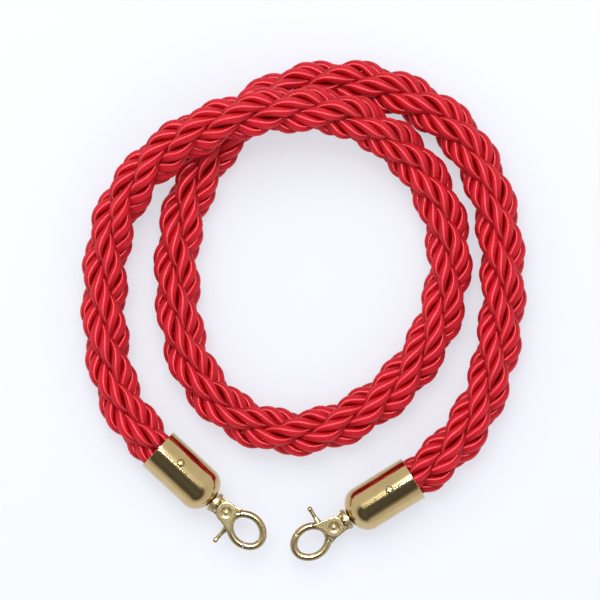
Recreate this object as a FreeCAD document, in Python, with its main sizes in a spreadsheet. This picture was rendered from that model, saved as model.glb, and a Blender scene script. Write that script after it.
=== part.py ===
"""Barrier rope: a three-strand satin rope with a domed brass cup and a swivel
trigger hook on each end, lying flat in a loose turn and a half.

Row frame, millimetres: +Z up, the floor is z = 0, and the origin is the middle
of the two sets of fittings' footprint. Each end's fittings are drawn in a local
frame, with the origin at the middle of the cup's mouth, +x out along the cup
and the hook's thumb lever on the -y side, and then placed on their rope end.
"""
import FreeCAD, Part
import math
import os
import re
import Sketcher
from FreeCAD import Placement, Rotation, Vector

# ---------------------------------------------------------------- dimensions
DIMENSIONS = [
    # rope
    ("rope_radius", 15.0, "free rope, over its strands"),
    ("rope_neck_radius", 14.2, "rope squeezed at the cup's mouth"),
    ("rope_neck_length", 12.0, "length over which the rope narrows"),
    ("rope_plug_radius", 13.8, "bound rope end inside the cup"),
    ("rope_plug_length", 34.0, "depth of the rope end in the cup"),
    ("binding_start", 3.0, "binding tape, distance from the mouth"),
    ("binding_length", 26.0, "binding tape, width"),
    # cup
    ("cup_radius", 15.2, "outside of the cup"),
    ("cup_wall", 1.0, "sheet thickness of the cup"),
    ("cup_length", 38.5, "straight part of the cup"),
    ("dome_length", 12.1, "domed part of the cup"),
    ("dome_floor", 1.2, "flat wall at the end of the dome"),
    ("stem_hole_radius", 3.06, "running hole for the hook's stem"),
    # rope screw
    ("screw_place", 17.5, "screw, distance from the mouth"),
    ("screw_hole_radius", 1.6, "hole for the screw"),
    ("screw_radius", 1.5, "screw shank"),
    ("screw_reach", 9.0, "screw shank, below the cup's top"),
    ("screw_point", 2.0, "length of the screw's point"),
    ("screw_head_radius", 2.7, "screw head"),
    ("screw_head_height", 0.8, "screw head, over the cup's top"),
    ("recess_long", 3.2, "cross recess, end to end"),
    ("recess_wide", 0.7, "cross recess, slot width"),
    ("recess_depth", 0.6, "cross recess"),
    # collar and washer
    ("collar_start", 50.6, "collar's inner face, on the dome"),
    ("collar_step_radius", 6.5, "collar's narrow step"),
    ("collar_step_length", 0.7, "collar's narrow step"),
    ("collar_radius", 7.2, "collar's bright band"),
    ("collar_length", 2.8, "collar, whole length"),
    ("washer_radius", 5.5, "retaining washer"),
    ("washer_thick", 1.0, "retaining washer"),
    # hook stem
    ("stem_radius", 3.0, "swivel stem"),
    ("stem_gap", 0.25, "end play of the stem, each way"),
    ("stem_head_radius", 4.6, "peened head of the stem"),
    ("stem_head_length", 1.5, "peened head of the stem"),
    ("shoulder_start", 53.7, "shoulder of the hook"),
    ("shoulder_length", 1.3, "shoulder of the hook"),
    ("shoulder_radius", 6.3, "shoulder of the hook, a half disc under the stem"),
    # hook plates
    ("pivot_x", 62.0, "lever pivot, distance from the mouth"),
    ("plate_radius", 6.8, "both round plates at the pivot"),
    ("plate_clear_radius", 7.15, "step in the jaw round the upper plate"),
    ("plate_gap", 0.12, "half the gap between the plates"),
    ("plate_height", 2.9, "outer faces of the plates, from the middle"),
    ("neck_half_width", 6.0, "lower plate beside the shoulder"),
    ("web_bend_x", 64.5, "outline of the web"),
    ("web_bend_y", 7.2, "outline of the web"),
    ("web_tip_x", 70.6, "web's outer corner in the ring"),
    ("web_tip_y", 9.2, "web's outer corner in the ring"),
    ("web_inner_x", 69.4, "web's inner corner in the ring"),
    ("web_inner_y", 7.0, "web's inner corner in the ring"),
    # ring
    ("ring_x", 80.1, "middle of the ring"),
    ("ring_y", 0.4, "middle of the ring"),
    ("ring_long", 12.1, "ring's centreline, half length"),
    ("ring_short", 9.9, "ring's centreline, half width"),
    ("ring_end_radius", 8.2, "ring's centreline, radius of its ends"),
    ("bar_radius", 2.5, "round bar of the ring"),
    # lever
    ("arm_bend_x", 67.2, "outline of the lever's arm"),
    ("arm_bend_y", 7.6, "outline of the lever's arm"),
    ("arm_root_x", 73.6, "arm's corner in the ring"),
    ("arm_root_y", 8.6, "arm's corner in the ring"),
    ("thumb_x", 69.4, "thumb bar, distance from the mouth"),
    ("thumb_root", 7.0, "thumb bar's inner end, off the axis"),
    ("thumb_tip", 18.5, "thumb bar's outer end, off the axis"),
    ("thumb_radius", 1.4, "thumb bar"),
    ("thumb_knob_radius", 1.75, "rounded end of the thumb bar"),
    # rivet and spring
    ("rivet_radius", 1.6, "rivet shank"),
    ("rivet_hole_radius", 1.65, "lever's running hole"),
    ("rivet_head_radius", 2.3, "domed rivet heads"),
    ("rivet_head_height", 1.1, "domed rivet heads"),
    ("seat_radius", 3.3, "sunk seat round the upper rivet head"),
    ("seat_depth", 0.5, "sunk seat round the upper rivet head"),
    ("pocket_radius", 4.4, "spring pocket in each plate"),
    ("pocket_core_radius", 2.5, "boss inside the spring pocket"),
    ("pocket_depth", 1.3, "spring pocket, from the middle"),
    ("spring_radius", 3.45, "torsion spring, to the wire's middle"),
    ("wire_radius", 0.25, "torsion spring wire"),
    ("spring_pitch", 0.62, "rise of one coil"),
    ("spring_coils", 3.0, "coils"),
    ("leg_length", 1.0, "spring leg, set into its plate"),
    ("leg_hole_radius", 0.33, "hole for a spring leg"),
]

# Where the ring's bar is split between jaw and lever, in degrees about the
# middle of the arc that the split lies on, 0 pointing away from the rope.
JAW_TIP = -66.0
LEVER_TIP = -67.2
JAW_SHELF = 140.0
LEVER_SHELF = 142.5
JAW_ROOT = 166.0
LEVER_ROOT = 170.0

# The rope's ends: the middle of each cup's mouth, the way the cup points, and how far
# the cup with its screw has rolled about its own axis.
ENDS = {
    "a": {"mouth": (-83.77, 31.82), "turn": -42.9, "roll": -17},
    "b": {"mouth": (86.13, 12.42), "turn": -148.3, "roll": 10},
}
ROLLED = ("ferrule", "rope_screw")

# The rope leaves each mouth straight for this long, and then takes the route,
# (x, y, height above the cups' axis). Its first half passes over its second.
EXIT_RUN = 28.0
ROUTE = [
    (-119, 92, 0),
    (-121.5, 140, 0),
    (-115, 187, 4),
    (-87, 225, 18),
    (-45, 248.5, 32),
    (2, 258, 31),
    (48, 253.5, 22),
    (86, 225.5, 4),
    (108, 184, 0),
    (108.5, 137, 0),
    (91, 93.5, 0),
    (57, 59.5, 0),
    (13.5, 42, 0),
    (-32, 53, 0),
    (-62, 88, 0),
    (-72, 134, 0),
    (-70, 184, 0),
    (-50, 228, 0),
    (-18, 262.5, 0),
    (28, 277.5, 0),
    (75, 270, 0),
    (115, 245.5, 0),
    (138, 203, 0),
    (146, 157, 0),
    (144.5, 110, 0),
    (133.5, 64.5, 0),
]

doc = FreeCAD.newDocument("barrier_rope")
sheet = doc.addObject("Spreadsheet::Sheet", "sizes")
for row, (alias, value, note) in enumerate(DIMENSIONS, start=1):
    sheet.set(f"A{row}", note)
    sheet.set(f"B{row}", str(value))
    sheet.setAlias(f"B{row}", alias)
doc.recompute()

SIZE = {alias: float(sheet.get(alias)) for alias, value, note in DIMENSIONS}
AXIS_HEIGHT = SIZE["cup_radius"]


# ------------------------------------------------------------------- helpers
def cells(text):
    """A formula with each dimension's name turned into its cell."""
    return re.sub(r"\b([a-z]+_[a-z_]+)\b", r"sizes.\1", text)


def value_of(text):
    return float(sheet.evalExpression(cells(text)))


def bind(thing, **formulas):
    """Bind properties to cells: bind(rod, Height="cup_length - cup_wall")."""
    for path, text in formulas.items():
        thing.setExpression(path.replace("__", "."), cells(text))
    return thing


def at(thing, x="0", y="0", z="0"):
    return bind(thing, Placement__Base__x=x, Placement__Base__y=y, Placement__Base__z=z)


DIRECTION = {
    "x": Rotation(Vector(0, 0, 1), Vector(1, 0, 0)),
    "-y": Rotation(Vector(0, 0, 1), Vector(0, -1, 0)),
    "z": Rotation(),
    "-z": Rotation(Vector(1, 0, 0), 180),
}


def rod(name, radius, length, along="z", **place):
    """A cylinder that starts at its place and runs along the given axis."""
    thing = doc.addObject("Part::Cylinder", name)
    thing.Placement.Rotation = DIRECTION[along]
    return at(bind(thing, Radius=radius, Height=length), **place)


def dome(name, radius, height, along="z", **place):
    """The slice of a ball from its middle up to the given height."""
    thing = doc.addObject("Part::Sphere", name)
    thing.Angle1 = 0
    thing.Placement.Rotation = DIRECTION[along]
    return at(bind(thing, Radius=radius, Angle2=f"asin(({height}) / ({radius}))"), **place)


def cap(name, radius, height, along="z", **place):
    """A shallow rounded head that stands on a circle of the given radius."""
    ball = f"(({radius})^2 + ({height})^2) / (2 * ({height}))"
    thing = doc.addObject("Part::Sphere", name)
    thing.Placement.Rotation = DIRECTION[along]
    sign = "+" if along == "-z" else "-"
    place["z"] = f"{place.get('z', '0')} {sign} ({ball} - {height})"
    bind(thing, Radius=ball, Angle1=f"asin(1 - ({height}) / ({ball}))")
    return at(thing, **place)


# The ring's centreline is an oval of four tangent arcs: two ends of
# ring_end_radius, END_SHIFT from its middle, and two flatter sides of RING_FLAT.
END_SHIFT = "(ring_long - ring_end_radius)"
RING_FLAT = (f"(({END_SHIFT}^2 + ring_short^2 - ring_end_radius^2)"
             " / (2 * (ring_short - ring_end_radius)))")


def ring_arc(name, side, start, stop):
    """Part of the ring's round bar, between two angles about that arc's middle."""
    shift = {
        "right": (END_SHIFT, "0", "ring_end_radius"),
        "left": (f"-{END_SHIFT}", "0", "ring_end_radius"),
        "far": ("0", f"(ring_short - {RING_FLAT})", RING_FLAT),
        "near": ("0", f"({RING_FLAT} - ring_short)", RING_FLAT),
    }[side]
    thing = doc.addObject("Part::Torus", name)
    thing.Angle3 = stop - start
    thing.Placement.Rotation = Rotation(Vector(0, 0, 1), start)
    bind(thing, Radius1=shift[2], Radius2="bar_radius")
    return at(thing, x=f"ring_x + {shift[0]}", y=f"ring_y + {shift[1]}")


TANGENT_ANGLE = math.degrees(math.atan2(
    value_of(f"{RING_FLAT} - ring_short"), value_of("ring_long - ring_end_radius")))


def draw(sketch, corners):
    """A closed outline of straight edges, each corner bound to two formulas."""
    count = len(corners)
    rough = [Vector(value_of(x), value_of(y), 0) for x, y in corners]
    for i in range(count):
        sketch.addGeometry(Part.LineSegment(rough[i], rough[(i + 1) % count]))
    for i in range(count):
        sketch.addConstraint(Sketcher.Constraint("Coincident", i, 2, (i + 1) % count, 1))
    for i, corner in enumerate(corners):
        for kind, axis_line, text, value in (
            ("DistanceX", -2, corner[0], rough[i].x),
            ("DistanceY", -1, corner[1], rough[i].y),
        ):
            if abs(value) < 1e-9:
                sketch.addConstraint(Sketcher.Constraint("PointOnObject", i, 1, axis_line))
            else:
                row = sketch.addConstraint(Sketcher.Constraint(kind, -1, 1, i, 1, value))
                bind(sketch, **{f"Constraints[{row}]": text})


def slab(name, corners, low, high):
    """A flat plate of straight edges between two heights."""
    sketch = doc.addObject("Sketcher::SketchObject", name + "_outline")
    draw(sketch, corners)
    plate = doc.addObject("Part::Extrusion", name)
    plate.Base = sketch
    plate.DirMode = "Custom"
    plate.Dir = Vector(0, 0, 1)
    plate.Solid = True
    bind(plate, LengthFwd=f"({high}) - ({low})")
    return at(plate, z=low)


def turned(name, corners, axis="H_Axis"):
    """A body turned from an outline of (along, radius) corners about the cup's axis.

    With V_Axis the corners are (radius, along), and the body stands on z.
    """
    body = doc.addObject("PartDesign::Body", name)
    sketch = body.newObject("Sketcher::SketchObject", name + "_outline")
    plane = [p for p in body.Origin.OriginFeatures if p.Role == "XZ_Plane"][0]
    sketch.AttachmentSupport = (plane, [""])
    sketch.MapMode = "FlatFace"
    draw(sketch, corners)
    spin = body.newObject("PartDesign::Revolution", name + "_turned")
    spin.Profile = sketch
    spin.ReferenceAxis = (sketch, [axis])
    spin.Angle = 360
    return body


def fuse(name, things):
    joined = doc.addObject("Part::MultiFuse", name)
    joined.Shapes = things
    joined.Refine = True
    return joined


def cut(name, base, tools):
    result = doc.addObject("Part::Cut", name)
    result.Base = base
    result.Tool = tools[0] if len(tools) == 1 else fuse(name + "_tools", tools)
    result.Refine = True
    return result


def tube(points, radius, trim, arc_share=0.45):
    """A round tube along straight runs joined by tangent arcs.

    The tube stops short of the first and the last point by trim.
    """
    def towards(a, b, distance):
        return a + (b - a).normalize() * distance

    edges = []
    radii = []
    start = towards(points[0], points[1], trim)
    for before, corner, after in zip(points, points[1:], points[2:]):
        turn = math.pi - (before - corner).getAngle(after - corner)
        reach = arc_share * min(before.distanceToPoint(corner), after.distanceToPoint(corner))
        radii.append(reach / math.tan(turn / 2))
        first = towards(corner, before, reach)
        last = towards(corner, after, reach)
        inside = towards(corner, (first + last) / 2, radii[-1] / math.cos(turn / 2) - radii[-1])
        edges += [Part.makeLine(start, first), Part.Arc(first, inside, last).toShape()]
        start = last
    edges.append(Part.makeLine(start, towards(points[-1], points[-2], trim)))
    path = Part.Wire(edges)
    circle = Part.Wire(Part.makeCircle(radius, edges[0].Vertexes[0].Point, points[1] - points[0]))
    pipe = path.makePipeShell([circle], True, False)
    drift = pipe.Volume / (math.pi * radius**2 * path.Length) - 1
    print(f"tube {path.Length:.0f} mm, volume off by {drift:.2%}")
    print("radii", " ".join(f"{bend:.0f}" for bend in radii))
    return pipe


# -------------------------------------------------------------- one fitting
def make_cup():
    """Drawn cup with a domed end, a hole for the stem and one for the screw."""
    outside = fuse("cup_outside", [
        rod("cup_barrel", "cup_radius", "cup_length", "x"),
        dome("cup_dome", "cup_radius", "dome_length", "x", x="cup_length"),
    ])
    inside = [
        rod("cup_bore", "cup_radius - cup_wall", "cup_length", "x"),
        dome("cup_hollow", "cup_radius - cup_wall", "dome_length - dome_floor", "x", x="cup_length"),
        rod("cup_stem_hole", "stem_hole_radius", "dome_length + 1", "x", x="cup_length"),
        rod("cup_screw_hole", "screw_hole_radius", "cup_radius + 1", x="screw_place"),
    ]
    return cut("ferrule", outside, inside)


def make_rope_screw():
    """Small self-tapping screw through the cup into the bound rope end."""
    screw = fuse("screw_blank", [
        at(turned("screw_shank", [
            ("0", "cup_radius - screw_reach - screw_point"),
            ("screw_radius", "cup_radius - screw_reach"),
            ("screw_radius", "cup_radius + 0.2"),
            ("0", "cup_radius + 0.2"),
        ], "V_Axis"), "screw_place"),
        cap("screw_head", "screw_head_radius", "screw_head_height", x="screw_place", z="cup_radius"),
    ])
    slots = []
    for name, long, wide in (("a", "recess_long", "recess_wide"), ("b", "recess_wide", "recess_long")):
        slot = doc.addObject("Part::Box", f"recess_{name}")
        bind(slot, Length=long, Width=wide, Height="recess_depth + 1")
        slots.append(at(slot, f"screw_place - {long} / 2", f"-{wide} / 2",
                        "cup_radius + screw_head_height - recess_depth"))
    return cut("rope_screw", screw, slots)


def make_binding():
    """Tape wound round the rope end so that it does not fray in the cup."""
    far = "binding_start + binding_length"
    return turned("rope_end_binding", [
        ("binding_start", "rope_plug_radius"),
        (far, "rope_plug_radius"),
        (far, "cup_radius - cup_wall"),
        ("binding_start", "cup_radius - cup_wall"),
    ])


def make_collar():
    """Stepped bush between the dome and the hook."""
    far = "collar_start + collar_length"
    step = "collar_start + collar_step_length"
    return turned("swivel_collar", [
        ("collar_start", "stem_hole_radius"),
        (far, "stem_hole_radius"),
        (far, "collar_radius"),
        (step, "collar_radius"),
        (step, "collar_step_radius"),
        ("collar_start", "collar_step_radius"),
    ])


DOME_FLOOR = "(cup_length + dome_length - dome_floor)"


def make_washer():
    """Washer inside the dome, under the stem's peened head."""
    return turned("retaining_washer", [
        (f"{DOME_FLOOR} - washer_thick", "stem_hole_radius"),
        (DOME_FLOOR, "stem_hole_radius"),
        (DOME_FLOOR, "washer_radius"),
        (f"{DOME_FLOOR} - washer_thick", "washer_radius"),
    ])


def spring_pocket(name, low):
    """Ring-shaped pocket for one half of the torsion spring."""
    bore = rod(name + "_bore", "pocket_radius", "pocket_depth", x="pivot_x", z=low)
    boss = rod(name + "_boss", "pocket_core_radius", "pocket_depth", x="pivot_x", z=low)
    return cut(name, bore, [boss])


def leg_hole(name, low):
    """Hole beyond a pocket's floor, for the end of the spring's wire."""
    return rod(name, "leg_hole_radius", "leg_length + 0.2", x="pivot_x + spring_radius", z=low)


def half_space(name, upper):
    """A block above or below the gap between the two plates."""
    block = doc.addObject("Part::Box", name)
    bind(block, Length="ring_x", Width="ring_x", Height="3 * plate_height")
    low = "-plate_gap" if upper else "plate_gap - 3 * plate_height"
    return at(block, "ring_x / 2", "-ring_x / 2", low)


def make_hook_body():
    """Stem, shoulder, lower plate, web and the fixed jaw of the ring, cast in one."""
    head_end = f"{DOME_FLOOR} - washer_thick - stem_gap"
    jaw = [
        ring_arc("jaw_near", "near", JAW_TIP, -TANGENT_ANGLE),
        ring_arc("jaw_end", "right", -TANGENT_ANGLE, TANGENT_ANGLE),
        ring_arc("jaw_far", "far", TANGENT_ANGLE, 180 - TANGENT_ANGLE),
        ring_arc("jaw_corner", "left", 180 - TANGENT_ANGLE, JAW_SHELF),
        cut("jaw_shelf", ring_arc("jaw_shelf_bar", "left", JAW_SHELF, JAW_ROOT),
            [half_space("jaw_shelf_cut", True)]),
    ]
    solid = fuse("hook_blank", jaw + [
        rod("hook_stem", "stem_radius", f"shoulder_start + shoulder_length - ({head_end})", "x",
            x=head_end),
        rod("hook_stem_head", "stem_head_radius", "stem_head_length", "x",
            x=f"{head_end} - stem_head_length"),
        cut("hook_shoulder",
            rod("shoulder_disc", "shoulder_radius", "shoulder_length", "x", x="shoulder_start"),
            [half_space("shoulder_cut", True)]),
        rod("hook_plate", "plate_radius", "plate_height - plate_gap", x="pivot_x", z="-plate_height"),
        slab("hook_web", [
            ("shoulder_start + 0.4", "-neck_half_width"),
            ("pivot_x", "-neck_half_width"),
            ("web_inner_x", "web_inner_y"),
            ("web_tip_x", "web_tip_y"),
            ("web_bend_x", "web_bend_y"),
            ("shoulder_start + 0.4", "neck_half_width"),
        ], "-plate_height", "-plate_gap"),
    ])
    return cut("hook_body", solid, [
        rod("jaw_step", "plate_clear_radius", "2 * plate_height", x="pivot_x", z="-plate_gap"),
        rod("hook_rivet_hole", "rivet_radius", "2 * plate_height", x="pivot_x", z="-1.5 * plate_height"),
        spring_pocket("hook_pocket", "-pocket_depth"),
        leg_hole("hook_leg_hole", "-pocket_depth - leg_length"),
    ])


def make_lever():
    """Upper plate, arm, thumb bar and the moving side of the ring, cast in one."""
    bar = [
        ring_arc("lever_near", "near", TANGENT_ANGLE - 180, LEVER_TIP),
        ring_arc("lever_root", "left", LEVER_ROOT, 180 + TANGENT_ANGLE),
        cut("lever_shelf", ring_arc("lever_shelf_bar", "left", LEVER_SHELF, LEVER_ROOT),
            [half_space("lever_shelf_cut", False)]),
        slab("lever_arm", [
            ("pivot_x", "0"),
            ("pivot_x", "0.2 - plate_radius"),
            ("arm_bend_x", "-arm_bend_y"),
            ("arm_root_x", "-arm_root_y"),
            ("pivot_x + plate_radius - 0.5", "0"),
        ], "-bar_radius", "plate_height"),
        rod("thumb_bar", "thumb_radius", "thumb_tip - thumb_root", "-y", x="thumb_x", y="-thumb_root"),
    ]
    knob = doc.addObject("Part::Sphere", "thumb_knob")
    at(bind(knob, Radius="thumb_knob_radius"), "thumb_x", "-thumb_tip")
    fillet = doc.addObject("Part::Cone", "thumb_fillet")
    fillet.Placement.Rotation = DIRECTION["-y"]
    bind(fillet, Radius1="bar_radius", Radius2="thumb_radius", Height="2 * bar_radius")
    at(fillet, "thumb_x", "-thumb_root")
    plate = rod("lever_plate", "plate_radius", "plate_height", x="pivot_x")
    return cut("lever", fuse("lever_blank", bar + [knob, fillet, plate]), [
        rod("lever_step", "plate_clear_radius", "2 * plate_height", x="pivot_x",
            z="plate_gap - 2 * plate_height"),
        rod("lever_rivet_hole", "rivet_hole_radius", "2 * plate_height", x="pivot_x"),
        rod("lever_seat", "seat_radius", "1 + seat_depth", x="pivot_x", z="plate_height - seat_depth"),
        spring_pocket("lever_pocket", "0"),
        leg_hole("lever_leg_hole", "pocket_depth - 0.2"),
    ])


def make_rivet():
    """Rivet through both plates, headed over on each side."""
    seat = "plate_height - seat_depth + 0.05"
    return fuse("pivot_rivet", [
        rod("rivet_shank", "rivet_radius", f"plate_height + {seat}", x="pivot_x", z="-plate_height"),
        cap("rivet_head", "rivet_head_radius", "rivet_head_height", x="pivot_x", z=seat),
        cap("rivet_tail", "rivet_head_radius", "rivet_head_height", "-z", x="pivot_x", z="-plate_height"),
    ])


def make_spring():
    """Torsion spring round the rivet, with one leg in each plate."""
    radius, pitch, coils = SIZE["spring_radius"], SIZE["spring_pitch"], SIZE["spring_coils"]
    rise, leg = pitch * coils, SIZE["leg_length"]
    wire = SIZE["wire_radius"]
    helix = Part.makeHelix(pitch, rise, radius)
    start = Vector(radius, 0, 0)
    climb = Vector(0, 2 * math.pi * radius, pitch)
    coil = Part.Wire(helix).makePipeShell([Part.Wire(Part.makeCircle(wire, start, climb))], True, True)
    legs = [
        Part.makeCylinder(wire, leg, Vector(radius, 0, 0), Vector(0, 0, -1)),
        Part.makeCylinder(wire, leg, Vector(radius, 0, rise), Vector(0, 0, 1)),
    ]
    ends = [Part.makeSphere(wire, start), Part.makeSphere(wire, Vector(radius, 0, rise))]
    spring = doc.addObject("Part::Feature", "lever_spring")
    shape = coil.multiFuse(legs + ends)
    shape.translate(Vector(SIZE["pivot_x"], 0, -rise / 2))
    spring.Shape = shape
    return spring


FITTINGS = {
    "ferrule": make_cup,
    "rope_screw": make_rope_screw,
    "rope_end_binding": make_binding,
    "swivel_collar": make_collar,
    "retaining_washer": make_washer,
    "hook_body": make_hook_body,
    "hook_lever": make_lever,
    "pivot_rivet": make_rivet,
    "lever_spring": make_spring,
}


# ------------------------------------------------------------ the whole rope
def end_placement(end, rolled=False):
    """Placement of a fitting, or of one of its pieces that rolled with the cup."""
    turn = Rotation(Vector(0, 0, 1), end["turn"])
    roll = Rotation(Vector(1, 0, 0), end["roll"] if rolled else 0)
    return Placement(Vector(*end["mouth"], AXIS_HEIGHT), turn * roll)


def make_rope():
    """The rope: a tube along its route, narrowing into a bound plug at each end."""
    ends = [end_placement(ENDS[letter]) for letter in "ab"]
    mouths = [end.Base for end in ends]
    outward = [end.Rotation.multVec(Vector(1, 0, 0)) for end in ends]
    exits = [mouth - way * EXIT_RUN for mouth, way in zip(mouths, outward)]
    route = [Vector(x, y, AXIS_HEIGHT + rise) for x, y, rise in ROUTE]
    points = [mouths[0], exits[0]] + route + [exits[1], mouths[1]]
    neck = SIZE["rope_neck_length"]
    pieces = []
    for mouth, way in zip(mouths, outward):
        pieces.append(Part.makeCone(SIZE["rope_radius"], SIZE["rope_neck_radius"], neck,
                                    mouth - way * neck, way))
        pieces.append(Part.makeCylinder(SIZE["rope_plug_radius"], SIZE["rope_plug_length"], mouth, way))
    rope = doc.addObject("Part::Feature", "rope")
    rope.Shape = tube(points, SIZE["rope_radius"], neck).multiFuse(pieces).removeSplitter()
    return rope


def build():
    """Every node of the part, by name."""
    nodes = {"rope": make_rope()}
    for letter, end in ENDS.items():
        for label, make in FITTINGS.items():
            piece = make()
            piece.Label = f"{label}_{letter}"
            piece.Placement = end_placement(end, label in ROLLED) * piece.Placement
            nodes[piece.Label] = piece
    return nodes


def check(nodes):
    failed = [thing.Label for thing in doc.Objects if {"Invalid", "Error"} & set(thing.State)]
    for name, piece in nodes.items():
        if piece.Shape.isNull() or not piece.Shape.isValid() or len(piece.Shape.Solids) != 1:
            failed.append(name)
    if failed:
        raise SystemExit(f"failed: {failed}")


def export(nodes):
    os.makedirs("parts", exist_ok=True)
    for name, piece in nodes.items():
        piece.Shape.exportStep(f"parts/{name}.step")
    print(len(nodes), "nodes")


nodes = build()
doc.recompute()
check(nodes)
export(nodes)
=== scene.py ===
"""Barrier rope with two brass trigger hooks, laid in an open loop on a pale floor.

Metres, +Z up, in the row frame. The rope is one mesh of twelve satin cords: four cords are
twisted into each of three strands, and the strands are laid together the other way round.
"""
import math
import random

import bpy
from mathutils import Matrix, Vector


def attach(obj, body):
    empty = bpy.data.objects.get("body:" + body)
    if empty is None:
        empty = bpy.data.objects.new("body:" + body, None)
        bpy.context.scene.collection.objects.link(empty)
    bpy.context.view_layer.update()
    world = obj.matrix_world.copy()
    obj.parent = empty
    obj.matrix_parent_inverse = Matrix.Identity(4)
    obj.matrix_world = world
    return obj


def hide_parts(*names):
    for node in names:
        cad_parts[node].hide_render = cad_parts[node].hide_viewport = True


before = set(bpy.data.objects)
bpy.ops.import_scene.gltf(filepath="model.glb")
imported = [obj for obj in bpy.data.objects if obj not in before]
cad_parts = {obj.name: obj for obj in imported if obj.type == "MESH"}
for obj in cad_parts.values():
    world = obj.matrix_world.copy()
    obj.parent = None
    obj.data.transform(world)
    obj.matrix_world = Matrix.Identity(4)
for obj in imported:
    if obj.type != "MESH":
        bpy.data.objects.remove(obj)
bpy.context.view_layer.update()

MM = 0.001
ENDS = ("a", "b")

# ---------------------------------------------------------------- places in the row frame

CUP_RADIUS = 15.2 * MM                       # also the height of both fittings' axes
MOUTH = {"a": (-83.77, 31.82), "b": (86.13, 12.42)}      # where the rope leaves each cup, mm
TURN = {"a": math.radians(-42.9), "b": math.radians(-148.3)}      # which way each hook points
EXIT_RUN = 28.0                              # mm of rope straight out of each cup


def outward(end):
    """Unit vector from a cup's mouth towards its hook."""
    return Vector((math.cos(TURN[end]), math.sin(TURN[end]), 0))


def mouth(end):
    """Centre of a cup's mouth."""
    return Vector((MOUTH[end][0] * MM, MOUTH[end][1] * MM, CUP_RADIUS))


def fitting_frame(end):
    """Placement of a fitting: origin at the cup's mouth, X along its axis, Z up."""
    return Matrix.Translation(mouth(end)) @ Matrix.Rotation(TURN[end], 4, "Z")


# ---------------------------------------------------------------- the rope's route

# x, y and the rise over lying on the floor, all in mm, from end a to end b
ROUTE = [
    (-118, 92, 0), (-120.3, 140, 0), (-114, 186.5, 4), (-86, 224.5, 18), (-44.5, 248, 32),
    (2, 257.5, 31), (48, 253, 22), (87, 226, 4), (109.5, 184.5, 0), (110.5, 137, 0),
    (93, 92, 0), (58, 57, 0), (13.5, 39, 0), (-33.5, 50.5, 0), (-64, 87, 0), (-72, 134, 0),
    (-70, 184, 0), (-50, 228, 0), (-18.5, 263.5, 0), (28, 278, 0), (75.5, 271, 0),
    (116, 246, 0), (139, 203.5, 0), (146.5, 157, 0), (145, 110, 0), (134, 64.5, 0),
]
ROPE_RADIUS = 15 * MM
LAID_RADIUS = 16.1 * MM                      # out to the crowns of the cords
FLOOR_GAP = 0.1 * MM


def route_points():
    """Control points of the centreline, with a straight run out of each cup."""
    run = EXIT_RUN * MM
    middle = [Vector((x * MM, y * MM, CUP_RADIUS + rise * MM)) for x, y, rise in ROUTE]
    start = [mouth("a"), mouth("a") - run * outward("a")]
    return start + middle + [mouth("b") - run * outward("b"), mouth("b")]


def route_line():
    """Points along the route's NURBS spline, from mouth to mouth."""
    curve = bpy.data.curves.new("route", "CURVE")
    curve.dimensions = "3D"
    curve.resolution_u = 24
    spline = curve.splines.new("NURBS")
    points = route_points()
    spline.points.add(len(points) - 1)
    for control, point in zip(spline.points, points):
        control.co = (*point, 1)
    spline.order_u = 3
    spline.use_endpoint_u = True
    holder = bpy.data.objects.new("route", curve)
    bpy.context.collection.objects.link(holder)
    line = bpy.data.meshes.new_from_object(holder)
    found = [v.co.copy() for v in line.vertices]
    bpy.data.objects.remove(holder)
    bpy.data.curves.remove(curve)
    bpy.data.meshes.remove(line)
    return found


def evenly(points, step):
    """The same line with points a step apart, ends kept."""
    lengths = [0.0]
    for a, b in zip(points, points[1:]):
        lengths.append(lengths[-1] + (b - a).length)
    count = max(2, round(lengths[-1] / step))
    out, k = [], 0
    for i in range(count + 1):
        wanted = lengths[-1] * i / count
        while k < len(points) - 2 and lengths[k + 1] < wanted:
            k += 1
        share = (wanted - lengths[k]) / (lengths[k + 1] - lengths[k])
        out.append(points[k].lerp(points[k + 1], share))
    return out, lengths[-1]


def turning_frames(points, up):
    """Each point with its side and up, turning no more than the line itself does."""
    frames = []
    for i, point in enumerate(points):
        tangent = (points[min(i + 1, len(points) - 1)] - points[max(i - 1, 0)]).normalized()
        up = (up - up.dot(tangent) * tangent).normalized()
        frames.append((point, tangent.cross(up), up))
    return frames


# ---------------------------------------------------------------- the laid rope

STRANDS = 3
CORDS = 4                                    # satin cords in each strand
STRAND_RADIUS = 7.95 * MM                    # soft strands press into each other a little
STRAND_OFFSET = LAID_RADIUS - STRAND_RADIUS
CORD_HEIGHT = 3.1 * MM                       # half a cord's thickness, out of its strand
CORD_WIDTH = 3.52 * MM                       # half its width: soft cords flatten side by side
CORD_OFFSET = STRAND_RADIUS - CORD_HEIGHT
LAY = 96 * MM                                # one turn of a strand, left-handed
TWIST = 31 * MM                              # one turn of a cord in its strand, right-handed
LAY_START = math.radians(40)
RING_STEP = 1.96 * MM
# directions round a cord's section from the side that shows, closer together there
SECTION = [math.radians(a) for a in (-105, -82, -58, -35, -12, 12, 35, 58, 82, 105, 145, 215)]
PLUG = 10 * MM                               # rope hidden inside each cup
NECK = 12 * MM                               # over which the rope narrows to enter a cup
PLUG_TAPER = 4 * MM                          # over which it narrows a little more inside
NECK_RADIUS = 14.05 * MM
PLUG_RADIUS = 13.6 * MM
NECK_SHARE = NECK_RADIUS / LAID_RADIUS
PLUG_SHARE = PLUG_RADIUS / LAID_RADIUS
WAVES = 4                                    # added up in each seeded variation
LAY_LOOSENESS = 0.10                         # radians, of a strand round the rope
TWIST_LOOSENESS = 0.2                        # radians, of a cord round its strand
SIZE_LOOSENESS = 0.05                        # share of a cord's size


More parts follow.
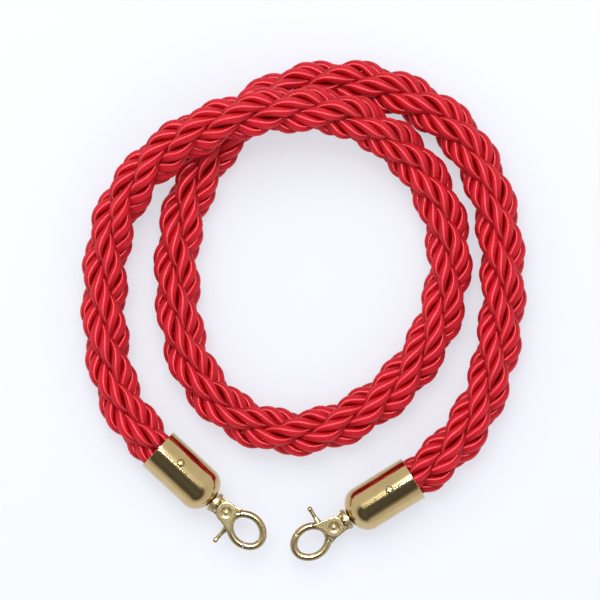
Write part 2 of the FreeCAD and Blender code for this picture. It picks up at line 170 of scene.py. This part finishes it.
def squeeze(distance):
    """Width of the rope as a share of the full width, by distance outside a cup's mouth."""
    if distance < 0:
        return PLUG_SHARE + (NECK_SHARE - PLUG_SHARE) * max(0, 1 + distance / PLUG_TAPER)
    t = min(1, distance / NECK)
    return NECK_SHARE + (1 - NECK_SHARE) * t * t * (3 - 2 * t)


def wobble(seed):
    """A smooth, small, seeded variation along the rope, from -1 to 1."""
    dice = random.Random(seed)
    waves = [(dice.uniform(0.6, 1), dice.uniform(0.02, 0.09), dice.uniform(0, 6.3))
             for _ in range(WAVES)]
    total = sum(w[0] for w in waves)
    return lambda s: sum(w * math.sin(s / wave + phase) for w, wave, phase in waves) / total


def cord_line(frames, step, strand, cord):
    """Rings of one cord: centre, the way out of its strand, and share of its full size."""
    loose = wobble(100 + strand)
    shift = wobble(200 + 10 * strand + cord)
    breath = wobble(300 + 10 * strand + cord)
    length = step * (len(frames) - 1) - 2 * PLUG
    out = []
    for i, (point, side, up) in enumerate(frames):
        s = i * step - PLUG
        share = squeeze(min(s, length - s))
        lay = LAY_START + math.tau * (strand / STRANDS + s / LAY) + LAY_LOOSENESS * loose(s)
        radial = math.cos(lay) * side + math.sin(lay) * up
        around = -math.sin(lay) * side + math.cos(lay) * up
        turn = math.tau * (cord / CORDS - s / TWIST) + TWIST_LOOSENESS * shift(s)
        out_of_strand = math.cos(turn) * radial + math.sin(turn) * around
        centre = point + share * (STRAND_OFFSET * radial + CORD_OFFSET * out_of_strand)
        out.append((centre, out_of_strand, share * (1 + SIZE_LOOSENESS * breath(s))))
    return out


def cord_rings(rings):
    """Vertices round each ring of a cord, and how far each faces out of the strand, -1 to 1."""
    verts, facing = [], []
    for i, (centre, way_out, share) in enumerate(rings):
        ahead = rings[min(i + 1, len(rings) - 1)][0] - rings[max(i - 1, 0)][0]
        tangent = ahead.normalized()
        normal = (way_out - way_out.dot(tangent) * tangent).normalized()
        across = tangent.cross(normal)
        for angle in SECTION:
            rise, reach = CORD_HEIGHT * math.cos(angle), CORD_WIDTH * math.sin(angle)
            vert = centre + share * (rise * normal + reach * across)
            vert.z = max(vert.z, FLOOR_GAP)
            verts.append(vert)
            facing.append(math.cos(angle))
    return verts, facing


def make_rope():
    """The whole rope as one mesh, the centre of each of its rings, and its length outside."""
    line = route_line()
    line.insert(0, line[0] + PLUG * outward("a"))
    line.append(line[-1] + PLUG * outward("b"))
    points, length = evenly(line, RING_STEP)
    step = length / (len(points) - 1)
    frames = turning_frames(points, Vector((0, 0, 1)))
    sides = len(SECTION)
    round_share = [(a / math.tau) % 1 for a in SECTION]
    verts, faces, facing, coords = [], [], [], []
    for strand in range(STRANDS):
        for cord in range(CORDS):
            first = len(verts)
            ring_verts, ring_facing = cord_rings(cord_line(frames, step, strand, cord))
            verts += ring_verts
            facing += ring_facing
            for i in range(len(points) - 1):
                here, there = first + i * sides, first + (i + 1) * sides
                u, w = i * step / RING_STEP, (i + 1) * step / RING_STEP
                for k in range(sides):
                    j = (k + 1) % sides
                    faces.append((here + k, there + k, there + j, here + j))
                    v = round_share[k]
                    x = v + (round_share[j] - v) % 1
                    coords += [(u, v), (w, v), (w, x), (u, x)]
            last = len(verts) - sides
            faces.append(tuple(range(first + sides - 1, first - 1, -1)))
            faces.append(tuple(range(last, len(verts))))
            coords += [(0, 0)] * (2 * sides)
    mesh = bpy.data.meshes.new("rope")
    mesh.from_pydata(verts, [], faces)
    layer = mesh.uv_layers.new(name="along")
    for corner, uv in zip(layer.data, coords):
        corner.uv = uv
    outer = mesh.attributes.new("facing", "FLOAT", "POINT")
    outer.data.foreach_set("value", facing)
    mesh.shade_smooth()
    rope = bpy.data.objects.new("laid_rope", mesh)
    bpy.context.collection.objects.link(rope)
    return rope, points, length - 2 * PLUG


# ---------------------------------------------------------------- materials

# a mix node's sockets for colours
MIX_A, MIX_B, MIX_RESULT = 6, 7, 2
# thread wound round each cord: stretched along the cord, and slanted, in radians
WINDING_SCALE = (3.2, 1.0, 1.0)
WINDING_SLANT = 0.5


def colour(red, green, blue):
    """Linear colour from 8-bit screen values."""
    return tuple(((c / 255 + 0.055) / 1.055) ** 2.4 if c > 10 else c / 255 / 12.92
                 for c in (red, green, blue)) + (1,)


class Shader:
    """A material's node tree, with short calls to add and join nodes."""

    def __init__(self, name):
        self.material = bpy.data.materials.new(name)
        self.material.use_nodes = True
        self.tree = self.material.node_tree
        self.surface = self.tree.nodes["Principled BSDF"]

    def add(self, kind, links=None, **settings):
        """A node; links feed its sockets, settings are its properties or socket values."""
        node = self.tree.nodes.new(kind)
        for key, value in settings.items():
            if hasattr(node, key):
                setattr(node, key, value)
            else:
                node.inputs[key.replace("_", " ")].default_value = value
        for key, source in (links or {}).items():
            self.tree.links.new(source, node.inputs[key])
        return node

    def feed(self, **sources):
        """Join outputs to the surface's sockets."""
        for key, source in sources.items():
            self.tree.links.new(source, self.surface.inputs[key.replace("_", " ")])

    def fix(self, **values):
        """Constant values on the surface's sockets."""
        for key, value in values.items():
            self.surface.inputs[key.replace("_", " ")].default_value = value

    def ramp(self, source, *stops):
        """Colour ramp over (position, colour) stops."""
        node = self.add("ShaderNodeValToRGB", {"Fac": source})
        elements = node.color_ramp.elements
        while len(elements) < len(stops):
            elements.new(0.5)
        for element, (position, tint) in zip(elements, stops):
            element.position = position
            element.color = tint
        return node.outputs["Color"]

    def noise(self, vector, scale, detail=2.0, roughness=0.5):
        """Cloudy values from 0 to 1."""
        node = self.add("ShaderNodeTexNoise", {"Vector": vector}, Scale=scale, Detail=detail,
                        Roughness=roughness)
        return node.outputs["Fac"]

    def spread(self, source, low, high):
        """Map 0..1 onto low..high."""
        node = self.add("ShaderNodeMapRange", {"Value": source})
        node.inputs["To Min"].default_value = low
        node.inputs["To Max"].default_value = high
        return node.outputs["Result"]


def satin():
    """Red rayon cord: fine thread wound round each cord, with painted shade down between the cords.
    """
    mat = Shader("rope_satin_cords")
    uv = mat.add("ShaderNodeUVMap", uv_map="along").outputs["UV"]
    position = mat.add("ShaderNodeTexCoord").outputs["Object"]
    facing = mat.add("ShaderNodeAttribute", attribute_name="facing").outputs["Fac"]
    wound = mat.add("ShaderNodeMapping", {"Vector": uv})
    wound.inputs["Scale"].default_value = WINDING_SCALE
    wound.inputs["Rotation"].default_value = (0, 0, WINDING_SLANT)
    threads = mat.noise(wound.outputs[0], 2.2, detail=3.0, roughness=0.65)
    patches = mat.noise(position, 60.0)
    # painted shade: the base colour darkens where a cord faces into its strand, down in the grooves
    # between the cords
    depth = mat.ramp(facing, (0.3, colour(170, 5, 15)), (0.6, colour(180, 11, 25)),
                     (0.85, colour(194, 20, 35)), (1.0, colour(198, 25, 40)))
    tone = mat.ramp(patches, (0.3, (0.84, 0.84, 0.84, 1)), (0.7, (1, 1, 1, 1)))
    mixed = mat.add("ShaderNodeMix", data_type="RGBA", blend_type="MULTIPLY")
    mixed.inputs["Factor"].default_value = 1.0
    mat.tree.links.new(depth, mixed.inputs[MIX_A])
    mat.tree.links.new(tone, mixed.inputs[MIX_B])
    bump = mat.add("ShaderNodeBump", {"Height": threads}, Strength=0.08, Distance=0.0003)
    along = mat.add("ShaderNodeTangent", direction_type="UV_MAP", uv_map="along")
    mat.feed(Base_Color=mixed.outputs[MIX_RESULT], Normal=bump.outputs["Normal"],
             Tangent=along.outputs["Tangent"], Roughness=mat.spread(threads, 0.40, 0.48))
    mat.fix(IOR=1.7, Specular_IOR_Level=1.0, Specular_Tint=(1.0, 0.18, 0.21, 1), Anisotropic=1.0)
    return mat.material


def metal(name, dark, light, roughness, unevenness):
    """Metal whose tone and roughness vary between two values, with a faint unevenness."""
    mat = Shader(name)
    position = mat.add("ShaderNodeTexCoord").outputs["Object"]
    cloud = mat.noise(position, 120.0, detail=3.0)
    fine = mat.noise(position, 900.0)
    mat.feed(Base_Color=mat.ramp(cloud, (0.3, colour(*dark)), (0.7, colour(*light))),
             Roughness=mat.spread(fine, *roughness))
    waves = mat.noise(position, 220.0, detail=1.0)
    bump = mat.add("ShaderNodeBump", {"Height": waves}, Strength=unevenness, Distance=0.0003)
    mat.feed(Normal=bump.outputs["Normal"])
    mat.fix(Metallic=1.0)
    return mat.material


def cloth_tape():
    """Black woven tape bound round the rope's end."""
    mat = Shader("binding_tape_weave")
    position = mat.add("ShaderNodeTexCoord").outputs["Object"]
    weave = mat.add("ShaderNodeTexWave", {"Vector": position}, Scale=700.0, Distortion=0.5)
    bump = mat.add("ShaderNodeBump", {"Height": weave.outputs["Fac"]}, Strength=0.5, Distance=0.0002)
    tone = mat.ramp(weave.outputs["Fac"], (0.2, colour(20, 20, 22)), (0.8, colour(46, 44, 46)))
    mat.feed(Base_Color=tone, Normal=bump.outputs["Normal"])
    mat.fix(Roughness=0.8)
    return mat.material


def paper():
    """The floor: a pale sheet, very slightly blue and uneven, that partly glows so the shadows on it
    stay faint.
    """
    mat = Shader("floor_paper")
    position = mat.add("ShaderNodeTexCoord").outputs["Object"]
    cloud = mat.noise(position, 3.0)
    mat.feed(Base_Color=mat.ramp(cloud, (0.3, colour(150, 153, 158)), (0.7, colour(152, 155, 160))))
    mat.fix(Roughness=0.75, Specular_IOR_Level=0.2, Emission_Color=colour(246, 247, 255),
            Emission_Strength=0.56)
    return mat.material


# ---------------------------------------------------------------- the metal pieces

# millimetres; the lip's band is a ring of faces that keeps its shading off the barrel
CUP = {"wall": 1.0, "barrel": 38.5, "dome": 12.1, "floor": 1.2, "bore": 3.06, "lip": 0.35,
       "lip_band": 2.0}
COLLAR = {"start": 50.6, "step_end": 51.3, "end": 53.4, "bore": 3.06, "step": 6.5, "radius": 7.2,
          "edge": 0.3, "step_edge": 0.1}
ROUND_STEPS = 5                              # along the curve of a rounded corner
OUTSIDE_STEPS, INSIDE_STEPS = 24, 16         # along the curve of a dome
SPIN_STEPS = 144                             # round the axis of a turned piece
SHARP = math.radians(32)                     # edges that bend by more than this stay crisp
CAST_GRAIN = 0.2 * MM
CAST_SOFTENING = 10                          # smoothing passes over a cast piece


def rounded(corners, cuts):
    """A closed outline with each corner of (along, radius) cut back that far to a short curve."""
    out = []
    for i, (here, cut) in enumerate(zip(corners, cuts)):
        here = Vector(here)
        before, after = Vector(corners[i - 1]), Vector(corners[(i + 1) % len(corners)])
        if not cut:
            out.append(here)
            continue
        first = here + cut * (before - here).normalized()
        last = here + cut * (after - here).normalized()
        for k in range(ROUND_STEPS + 1):
            t = k / ROUND_STEPS
            out.append((1 - t) ** 2 * first + 2 * t * (1 - t) * here + t * t * last)
    return out


def turned(name, outline, place):
    """A closed outline of (along, radius), in mm, spun about the fitting's axis."""
    verts, faces = [], []
    count = len(outline)
    for i in range(SPIN_STEPS):
        angle = math.tau * i / SPIN_STEPS
        for along, radius in outline:
            verts.append(place @ Vector((along * MM, radius * MM * math.cos(angle),
                                         radius * MM * math.sin(angle))))
        here, there = i * count, (i + 1) % SPIN_STEPS * count
        faces += [(here + k, here + (k + 1) % count, there + (k + 1) % count, there + k)
                  for k in range(count)]
    mesh = bpy.data.meshes.new(name)
    mesh.from_pydata(verts, [], faces)
    mesh.shade_smooth()
    mesh.set_sharp_from_angle(angle=SHARP)
    piece = bpy.data.objects.new(name, mesh)
    bpy.context.collection.objects.link(piece)
    return piece


def dome(radius, depth, steps):
    """Outline of a domed end, from the barrel to the hole for the stem."""
    last = math.asin(CUP["bore"] / radius)
    angles = [math.pi / 2 + (last - math.pi / 2) * k / steps for k in range(steps + 1)]
    return [(CUP["barrel"] + depth * math.cos(t), radius * math.sin(t)) for t in angles]


def make_cup(end):
    """Drawn cup: straight barrel, domed end with a hole for the stem, rounded lip."""
    outer = CUP_RADIUS / MM
    inner = outer - CUP["wall"]
    band = CUP["lip_band"]
    lip = rounded([(0, inner), (0, outer), (band, outer), (band, inner)],
                  [CUP["lip"], CUP["lip"], 0, 0])[:-1]
    outside = dome(outer, CUP["dome"], OUTSIDE_STEPS)
    inside = dome(inner, CUP["dome"] - CUP["floor"], INSIDE_STEPS)
    return turned(f"ferrule_shell_{end}", lip + outside + inside[::-1], fitting_frame(end))


def make_collar(end):
    """Stepped bush between the dome and the hook, its edges broken."""
    bore, step, radius = COLLAR["bore"], COLLAR["step"], COLLAR["radius"]
    corners = [(COLLAR["start"], bore), (COLLAR["end"], bore), (COLLAR["end"], radius),
               (COLLAR["step_end"], radius), (COLLAR["step_end"], step), (COLLAR["start"], step)]
    edge, step_edge = COLLAR["edge"], COLLAR["step_edge"]
    outline = rounded(corners, [0, edge, edge, edge, step_edge, step_edge])
    return turned(f"swivel_bush_{end}", outline, fitting_frame(end))


def cast(node):
    """The node's shape with every edge softened, as it comes out of a mould."""
    piece = bpy.data.objects.new(f"cast_{node}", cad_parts[node].data.copy())
    bpy.context.collection.objects.link(piece)
    remesh = piece.modifiers.new("skin", "REMESH")
    remesh.mode = "VOXEL"
    remesh.voxel_size = CAST_GRAIN
    remesh.use_smooth_shade = True
    soften = piece.modifiers.new("soften", "SMOOTH")
    soften.factor = 0.5
    soften.iterations = CAST_SOFTENING
    shown = piece.evaluated_get(bpy.context.evaluated_depsgraph_get())
    mesh = bpy.data.meshes.new_from_object(shown)
    piece.modifiers.clear()
    piece.data = mesh
    mesh.materials.clear()
    return piece


def stand_for(piece, node, body, finish):
    """Give a piece its finish and body, and hide the node it replaces."""
    piece.data.materials.append(finish)
    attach(piece, body)
    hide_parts(node)


# ---------------------------------------------------------------- the object

rope, rope_path, rope_length = make_rope()
rope.data.materials.append(satin())
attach(rope, "root")
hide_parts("rope")

# darker and lighter tone, least and most roughness, strength of the unevenness
METALS = {
    "cup_polished_brass": ((198, 172, 122), (206, 182, 134), (0.10, 0.115), 0.012),
    "hook_cast_brass": ((166, 148, 110), (184, 168, 128), (0.21, 0.27), 0.12),
    "collar_turned_brass": ((180, 158, 116), (196, 176, 134), (0.36, 0.44), 0.03),
    "screw_worn_brass": ((132, 114, 78), (150, 132, 94), (0.3, 0.4), 0.1),
    "steel_plain": ((150, 152, 156), (180, 182, 186), (0.25, 0.4), 0.1),
}
finishes = {name: metal(name, *values) for name, values in METALS.items()}

# the CAD nodes that are shown as they are
KEPT_FINISHES = {
    "pivot_rivet": finishes["collar_turned_brass"],
    "rope_screw": finishes["screw_worn_brass"],
    "retaining_washer": finishes["steel_plain"],
    "lever_spring": finishes["steel_plain"],
    "rope_end_binding": cloth_tape(),
}

for end in ENDS:
    stand_for(make_cup(end), f"ferrule_{end}", "root", finishes["cup_polished_brass"])
    stand_for(make_collar(end), f"swivel_collar_{end}", "root",
              finishes["collar_turned_brass"])
    for part, body in (("hook_body", "hook"), ("hook_lever", "lever")):
        stand_for(cast(f"{part}_{end}"), f"{part}_{end}", f"{body}_{end}",
                  finishes["hook_cast_brass"])
    for part, finish in KEPT_FINISHES.items():
        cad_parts[f"{part}_{end}"].material_slots[0].material = finish

# ---------------------------------------------------------------- floor, light and camera

FLOOR_SIDE = 6
CENTRE = Vector((10.8 * MM, 130.8 * MM, 0))   # middle of the picture on the floor
FRAME_WIDTH = 399.3 * MM                      # what the picture spans at half the rope's height
CAMERA_HEIGHT = 2.0
SENSOR = 36.0
LAMP_DISTANCE = 1.6
# name, degrees off the zenith, azimuth, width, depth, watts, and the rays that see it
LAMPS = [
    ("broad", 30, 105, 1.1, 1.1, 13, "diffuse"),
    ("sparkle", 17, 90, 0.36, 0.26, 42, "glossy"),
    ("glint", 3, 90, 0.04, 0.04, 3.2, "glossy"),
]
DAYLIGHT = (1.0, 1.01, 1.04, 1)               # the surroundings, but for reflections
DARK_PLACE = (33, -105)                       # degrees off the zenith, azimuth
# brightness of what is reflected, by cosine off the ceiling's dark place
REFLECTED = [(0.0, 0.80), (0.45, 0.80), (0.68, 0.70), (0.79, 0.24), (0.88, 0.08), (1.0, 0.14)]
REFLECTED_BLUE = 0.97                         # share of blue in it


def direction(off_zenith, azimuth):
    """Unit vector from two angles in degrees."""
    tilt, way = math.radians(off_zenith), math.radians(azimuth)
    return Vector((math.sin(tilt) * math.cos(way), math.sin(tilt) * math.sin(way), math.cos(tilt)))


def make_floor():
    """The sheet of paper under the object."""
    bpy.ops.mesh.primitive_plane_add(size=FLOOR_SIDE)
    floor = bpy.context.object
    floor.name = "floor"
    floor.data.materials.append(paper())


def soft_light(name, off_zenith, azimuth, wide, deep, watts, seen_by):
    """An area light over the middle of the picture, facing it."""
    data = bpy.data.lights.new(name, "AREA")
    data.shape = "RECTANGLE"
    data.size = wide
    data.size_y = deep
    data.energy = watts
    lamp = bpy.data.objects.new(name, data)
    toward = direction(off_zenith, azimuth)
    lamp.location = CENTRE + LAMP_DISTANCE * toward
    lamp.rotation_euler = toward.to_track_quat("Z", "Y").to_euler()
    lamp.visible_diffuse = seen_by == "diffuse"
    lamp.visible_glossy = seen_by == "glossy"
    bpy.context.collection.objects.link(lamp)


def make_world():
    """Even pale surroundings, and for reflections a bright ceiling with a dark place in it."""
    world = bpy.data.worlds.new("studio")
    bpy.context.scene.world = world
    world.use_nodes = True
    tree = world.node_tree
    looking = tree.nodes.new("ShaderNodeTexCoord")
    cosine = tree.nodes.new("ShaderNodeVectorMath")
    cosine.operation = "DOT_PRODUCT"
    cosine.inputs[1].default_value = direction(*DARK_PLACE)
    tree.links.new(looking.outputs["Generated"], cosine.inputs[0])
    bands = tree.nodes.new("ShaderNodeValToRGB")
    tree.links.new(cosine.outputs["Value"], bands.inputs["Fac"])
    while len(bands.color_ramp.elements) < len(REFLECTED):
        bands.color_ramp.elements.new(0.5)
    for element, (position, grey) in zip(bands.color_ramp.elements, REFLECTED):
        element.position = position
        element.color = (grey, grey, grey * REFLECTED_BLUE, 1)
    path = tree.nodes.new("ShaderNodeLightPath")
    choose = tree.nodes.new("ShaderNodeMix")
    choose.data_type = "RGBA"
    choose.inputs[MIX_A].default_value = DAYLIGHT
    tree.links.new(path.outputs["Is Glossy Ray"], choose.inputs["Factor"])
    tree.links.new(bands.outputs["Color"], choose.inputs[MIX_B])
    tree.links.new(choose.outputs[MIX_RESULT], tree.nodes["Background"].inputs["Color"])


def make_camera():
    """A camera straight above the middle of the picture."""
    data = bpy.data.cameras.new("camera")
    data.sensor_width = SENSOR
    data.lens = SENSOR * (CAMERA_HEIGHT - ROPE_RADIUS) / FRAME_WIDTH
    camera = bpy.data.objects.new("camera", data)
    camera.location = CENTRE + Vector((0, 0, CAMERA_HEIGHT))
    bpy.context.collection.objects.link(camera)
    bpy.context.scene.camera = camera


make_floor()
for lamp in LAMPS:
    soft_light(*lamp)
make_world()
make_camera()
bpy.context.scene.view_settings.view_transform = "Standard"
